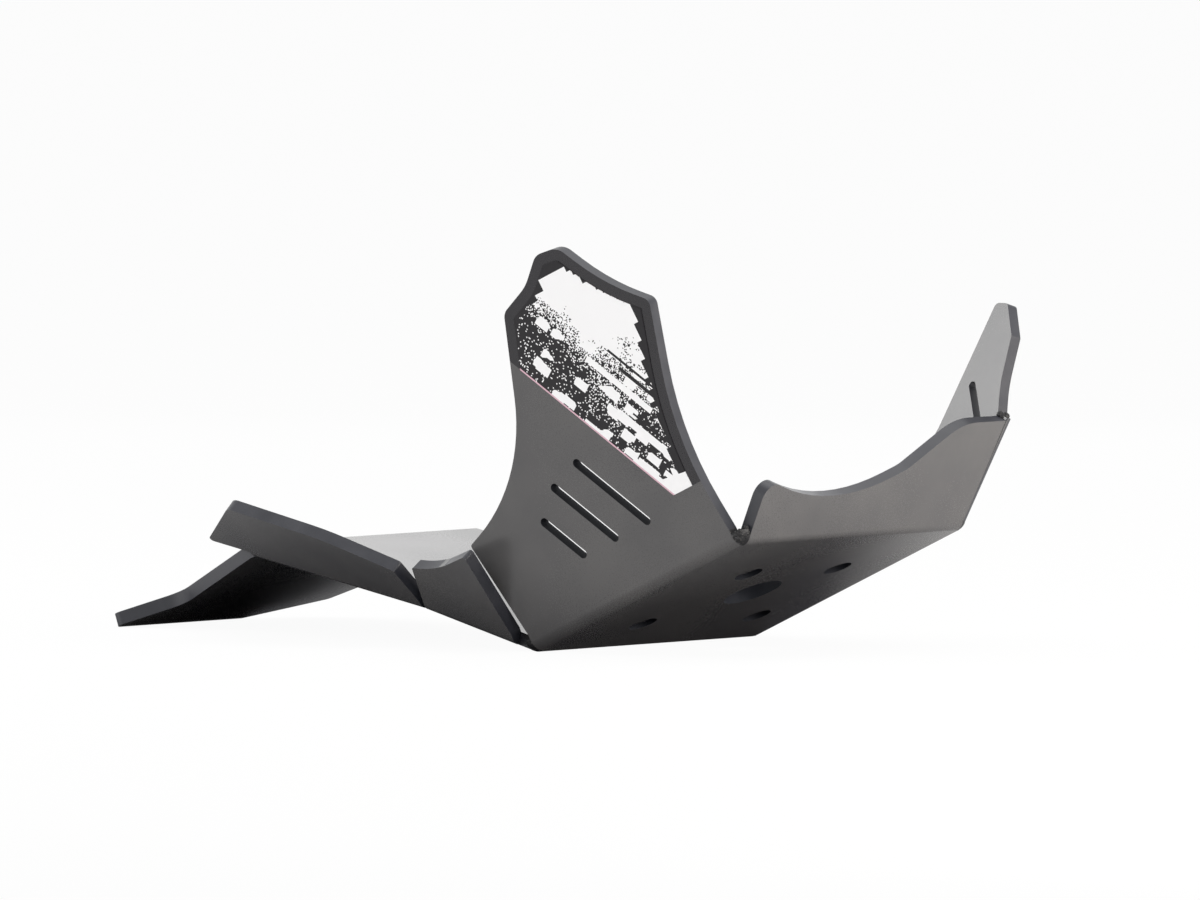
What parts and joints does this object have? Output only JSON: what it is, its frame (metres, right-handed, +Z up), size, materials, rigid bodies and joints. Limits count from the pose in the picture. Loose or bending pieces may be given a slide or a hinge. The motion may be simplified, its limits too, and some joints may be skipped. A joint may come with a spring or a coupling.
{
  "type": "motorcycle skid plate",
  "caption": "Folded plastic skid plate for a motorcycle: floor with bolt holes and drain opening, raised front panel, tall slotted side wings and a long rear guard for the linkage.",
  "frame": {"origin": "midway between the two rear bolt holes, on the inner (upper) face of the floor", "axes": "+X towards the motorcycle's front wheel, +Y to its left, +Z up; the plate lies as it comes to rest on a flat surface, on the rear fold of the floor and the end of the tail, so the floor slopes up to the front"},
  "size_m": [0.5523, 0.2983, 0.2478],
  "materials": {
    "sheet": "satin black polyethylene with fine handling scratches",
    "vinyl": "printed gloss vinyl, white with black stripes and speckle"
  },
  "bodies": {
    "root": {"plate": "sheet", "decal": "vinyl"}
  },
  "joints": []
}
